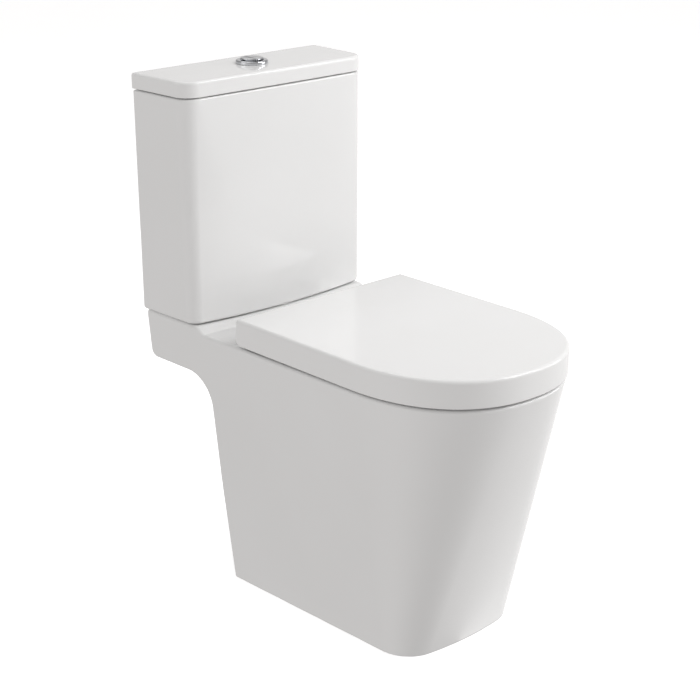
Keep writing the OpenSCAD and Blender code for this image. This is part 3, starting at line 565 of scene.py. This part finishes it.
SEAT_HALF, SEAT_BACK, SHOULDER = 180.0, 229.0, 488.0
SEAT_FRONT = 2 * WALL
SEAT_LOW, SEAT_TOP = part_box("seat_lid")[0].z / MM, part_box("seat_lid")[1].z / MM
SKIRT, PANEL = 6.0, 7.0


def knuckle(x, d, z, start, stop, web):
    """A hinge eye round the hinge axis, with the web that carries it."""
    return both(either(round_bar(d, z, HINGE_D, HINGE_Z, KNUCKLE_R), web, 3), span(x, start, stop), 0.8)


def seat_lid(x, d, z):
    rake = 0.08 * (z - SEAT_LOW)
    shape = both(d_shape(x, d, SEAT_HALF, SHOULDER, SEAT_FRONT), SEAT_BACK + rake - d, 3)
    shape = both(shape, z - SEAT_TOP, 5.5)
    shape = both(shape, SEAT_LOW - z, 2)
    hollow = both(d_shape(x, d, SEAT_HALF - SKIRT, SHOULDER, SEAT_FRONT - SKIRT),
                  SEAT_BACK + SKIRT - d, 4)
    hollow = both(hollow, z - SEAT_TOP + PANEL, 5)
    shape = less(shape, hollow, 1.5)
    notch = both(span(np.abs(x), 38, 112), span(d, 200, SEAT_BACK + SKIRT + 2), 1)
    shape = less(shape, both(notch, z - SEAT_TOP + PANEL, 2), 1.2)
    corner = both(both(HINGE_Z - 42 - z, z - HINGE_Z, 1), d - HINGE_D, 1)
    corner = less(corner, round_bar(d, z, HINGE_D, HINGE_Z, 21), 0.5)
    shape = less(shape, corner, 1.2)
    web = both(span(d, HINGE_D - 6.5, HINGE_D + 6.5), span(z, HINGE_Z, SEAT_TOP - 3), 1)
    arms = np.minimum(knuckle(x, d, z, 106.5, 150.5, web), knuckle(x, d, z, -124.5, -106.5, web))
    shape = either(shape, arms, 3)
    shape = less(shape, both(round_bar(d, z, HINGE_D, HINGE_Z, PIN_BORE), span(np.abs(x), 100, 125), 0.3), 0.5)
    return less(shape, both(round_bar(d, z, HINGE_D, HINGE_Z, 6.55), span(x, 124.5, 148.5), 0.3), 0.5)


solid("seat_lid_moulding", seat_lid, ["seat_lid"], "seat_lid", seat_white, 1.8,
      mirrored=False)

RING_LOW, RING_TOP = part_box("seat_ring")[0].z / MM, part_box("seat_ring")[1].z / MM


def seat_ring(x, d, z):
    shape = both(d_shape(x, d, SEAT_HALF - 8, SHOULDER, SEAT_FRONT - 8), 279 - d, 12)
    hole = egg(x, d, 112, 150, 489)
    shape = both(shape, z - RING_TOP, 9)
    shape = both(shape, RING_LOW - z, 2.5)
    shape = less(shape, hole, 8)
    web = both(span(d, HINGE_D, 290), span(z, HINGE_Z - KNUCKLE_R, RING_TOP), 1.5)
    arms = np.minimum(knuckle(np.abs(x), d, z, 87.5, 105.5, web), knuckle(x, d, z, -67.5, -41.5, web))
    shape = either(shape, arms, 3)
    shape = less(shape, both(round_bar(d, z, HINGE_D, HINGE_Z, PIN_BORE), span(np.abs(x), 80, 110), 0.3), 0.5)
    return less(shape, both(round_bar(d, z, HINGE_D, HINGE_Z, 6.55), span(x, -69, -43.5), 0.3), 0.5)


solid("seat_ring_moulding", seat_ring, ["seat_ring"], "seat_ring", seat_white, 1.8,
      mirrored=False)


def hinge_post(x, d, z):
    side, foot = np.abs(x), DECK + 1.5
    post = both(round_bar(side, d, POST_X, HINGE_D, KNUCKLE_R), span(z, foot, HINGE_Z), 0.5)
    disc = both(round_bar(side, d, POST_X, HINGE_D, 10.5), span(z, foot, foot + 3), 1)
    head = both(round_bar(d, z, HINGE_D, HINGE_Z, KNUCKLE_R), span(side, POST_X - 9, POST_X + 9), 1.2)
    shape = either(either(post, disc, 1.5), head, 2)
    shape = less(shape, round_bar(d, z, HINGE_D, HINGE_Z, 4.01), 0.5)
    return less(shape, both(round_bar(side, d, POST_X, HINGE_D, 4.02), z - foot - 12, 0.3), 0.3)


solid("hinge_posts_chrome", hinge_post, ["hinge_posts"], ROOT, chrome, 0.8)


# ---- flush button ----

BEZEL_LOW, BEZEL_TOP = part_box("button_bezel")[0].z / MM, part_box("button_bezel")[1].z / MM
BUTTON_TOP, BUTTON_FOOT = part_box("full_flush_button")[1].z / MM, 843.0
BEZEL_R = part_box("button_bezel")[1].x / MM
HEAD_R, HEAD_FOOT = 18.6, LID_TOP + 7
ROD_D, ROD_X = VALVE_D + 8, 8.0


def bezel(x, d, z):
    r = np.hypot(x, d - VALVE_D)
    shank = both(r - 19, span(z, BEZEL_LOW, LID_TOP + 2), 0.6)
    flange = both(both(r - BEZEL_R, z - BEZEL_TOP, 2.6), LID_TOP - z, 0.4)
    shape = either(shank, flange, 0.3)
    shape = less(shape, both(r - 16.5, BEZEL_LOW + 4 - z, 0.5), 0.5)
    shape = less(shape, both(r - 19.2, LID_TOP + 1.8 - z, 0.5), 1.6)
    return less(shape, both(round_bar(np.abs(x), d, ROD_X, ROD_D, 2.3), z - BEZEL_LOW - 10, 0.2), 0.3)


solid("button_bezel_chrome", bezel, ["button_bezel"], "cistern_lid", chrome, 0.7)


def button(side):
    def field(x, d, z):
        r = np.hypot(x, d - VALVE_D)
        split = (-2.9 - x) if side > 0 else (x + 4.1)
        dome = 0.8 * (r / HEAD_R) ** 2
        dish = 1.0 * np.exp(-((x - side * 8 + 2) ** 2 + (d - VALVE_D) ** 2) / 50)
        head = both(both(r - HEAD_R, z - BUTTON_TOP + dome + dish, 1.3), HEAD_FOOT - z, 0.5)
        stem = both(r - 16, span(z, BUTTON_FOOT, BUTTON_TOP - 1.5), 0.5)
        cap = both(np.minimum(head, stem), split, 0.9)
        rod = both(round_bar(x, d, side * ROD_X, ROD_D, 2), span(z, 769.2, BUTTON_FOOT + 1), 0.4)
        return either(cap, rod, 0.8)
    return field


for name, side in (("full", 1), ("half", -1)):
    node = f"{name}_flush_button"
    solid(f"{node}_chrome", button(side), [node], f"{name}_button", chrome, 0.7, mirrored=False)


def spring(turns, r, wire, low, high):
    """A wire wound round the rod's axis, its two ends closed."""
    around = 10
    steps = turns * 28
    turn = np.linspace(0, 2 * np.pi * turns, steps + 1)[:, None]
    angle = np.linspace(0, 2 * np.pi, around, endpoint=False)[None]
    reach = r + wire * np.cos(angle)
    rise = low + wire + (high - low - 2 * wire) * turn / turn.max() + wire * np.sin(angle)
    points = np.stack([reach * np.cos(turn), reach * np.sin(turn), rise], -1).reshape(-1, 3)
    faces = []
    for i in range(steps):
        for k in range(around):
            a, b = i * around + k, i * around + (k + 1) % around
            faces.append((a, a + around, b + around, b))
    faces.append(tuple(range(around)))
    faces.append(tuple(steps * around + k for k in reversed(range(around))))
    return points, faces


SPRING_LOW, SPRING_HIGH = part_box("full_button_spring")[0].z / MM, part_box("full_button_spring")[1].z / MM
for name, side in (("full", 1), ("half", -1)):
    node = f"{name}_button_spring"
    points, faces = spring(6, 3.6, 0.4, SPRING_LOW, SPRING_HIGH)
    axis = np.array([side * ROD_X, WALL - ROD_D, 0])
    mesh = bpy.data.meshes.new(f"{node}_wire")
    mesh.from_pydata((points + axis) * MM, [], faces)
    mesh.polygons.foreach_set("use_smooth", np.ones(len(mesh.polygons), bool))
    mesh.materials.append(CAD_FINISH["steel"])
    wire = bpy.data.objects.new(f"{node}_wire", mesh)
    bpy.context.scene.collection.objects.link(wire)
    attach(wire, "cistern_lid")
    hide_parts(node)
    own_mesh(wire)


# ---- floor, light and camera ----

scene = bpy.context.scene
scene.view_settings.view_transform = "Standard"

# The floor and the backdrop light nothing: their share is in the studio's glow, which comes from below too.
pale = surface("pale_floor", (0.93, 0.93, 0.93), (0.92, 0.92, 0.92), 0.5, 0.6, patch=1, grain=60,
               relief=0.002)
pale.node_tree.nodes["Principled BSDF"].inputs["Emission Color"].default_value = (1, 1, 1, 1)
pale.node_tree.nodes["Principled BSDF"].inputs["Emission Strength"].default_value = 0.56


def set_piece(name):
    """The object just added is named and given the pale finish, seen by the camera only."""
    piece = bpy.context.object
    piece.name = name
    piece.data.materials.append(pale)
    piece.data.polygons.foreach_set("use_smooth", np.ones(len(piece.data.polygons), bool))
    piece.visible_diffuse = piece.visible_glossy = piece.visible_transmission = False
    piece.visible_shadow = False


bpy.ops.mesh.primitive_plane_add(size=600)
set_piece("floor")
bpy.ops.mesh.primitive_uv_sphere_add(radius=250, segments=96, ring_count=48)
set_piece("backdrop")


def toward(azimuth, height):
    """A direction by its azimuth, from -Y round to +X, and its height angle, in degrees."""
    a, h = radians(azimuth), radians(height)
    return Vector((sin(a) * cos(h), -cos(a) * cos(h), sin(h)))


def studio(glow, lobes):
    """An even glow, and soft brighter sides given as (azimuth, height, strength, tightness)."""
    world = bpy.data.worlds.new("studio")
    world.use_nodes = True
    nodes, links = world.node_tree.nodes, world.node_tree.links
    place = nodes.new("ShaderNodeTexCoord")

    def math(kind, first, second):
        node = nodes.new("ShaderNodeMath")
        node.operation = kind
        for socket, value in zip(node.inputs, (first, second)):
            if isinstance(value, float):
                socket.default_value = value
            else:
                links.new(value, socket)
        return node.outputs["Value"]

    total = glow
    for azimuth, height, strength, tightness in lobes:
        facing = nodes.new("ShaderNodeVectorMath")
        facing.operation = "DOT_PRODUCT"
        facing.inputs[1].default_value = toward(azimuth, height)
        links.new(place.outputs["Generated"], facing.inputs[0])
        lobe = math("POWER", math("MAXIMUM", facing.outputs["Value"], 0.0), tightness)
        total = math("ADD", math("MULTIPLY", lobe, strength), total)
    links.new(total, nodes["Background"].inputs["Strength"])
    nodes["Background"].inputs["Color"].default_value = (1, 0.982, 0.974, 1)
    return world


scene.world = studio(0.41, [(-90, -22, 0.71, 4.0), (75, -40, 0.30, 4.0), (125, -20, 0.50, 8.0),
                            (137, 22, 0.22, 12.0)])

MIDDLE = Vector((0, 0, 0.35))
UP = Vector((0, 0, 1))
SOFTBOXES = [(name, MIDDLE + 3.2 * toward(azimuth, height), -toward(azimuth, height), 1.6, power)
             for name, azimuth, height, power in (("key", 33, 46, 50), ("top", 180, 68, 16),
                                                  ("right_low", 54, 15, 24), ("left", -110, 25, 6))]
SOFTBOXES.append(("floor_bounce", Vector((0.18, -0.42, 0.004)), UP, 0.4, 0.20))
for name, place, facing, size, power in SOFTBOXES:
    light = bpy.data.lights.new(name, "AREA")
    light.shape, light.size, light.energy = "SQUARE", size, power
    lamp = bpy.data.objects.new(name, light)
    scene.collection.objects.link(lamp)
    lamp.location = place
    lamp.rotation_euler = facing.to_track_quat("-Z", "Y").to_euler()
    lamp.visible_camera = False
    lamp.visible_glossy = name != "floor_bounce"

lens = bpy.data.cameras.new("camera")
lens.lens, lens.sensor_width = 86.30, 36.0
camera = bpy.data.objects.new("camera", lens)
camera.location = (-1.73389, -1.82762, 1.33909)
camera.rotation_euler = (radians(90 - 19.8765), 0, radians(-42.7408))
scene.collection.objects.link(camera)
scene.camera = camera
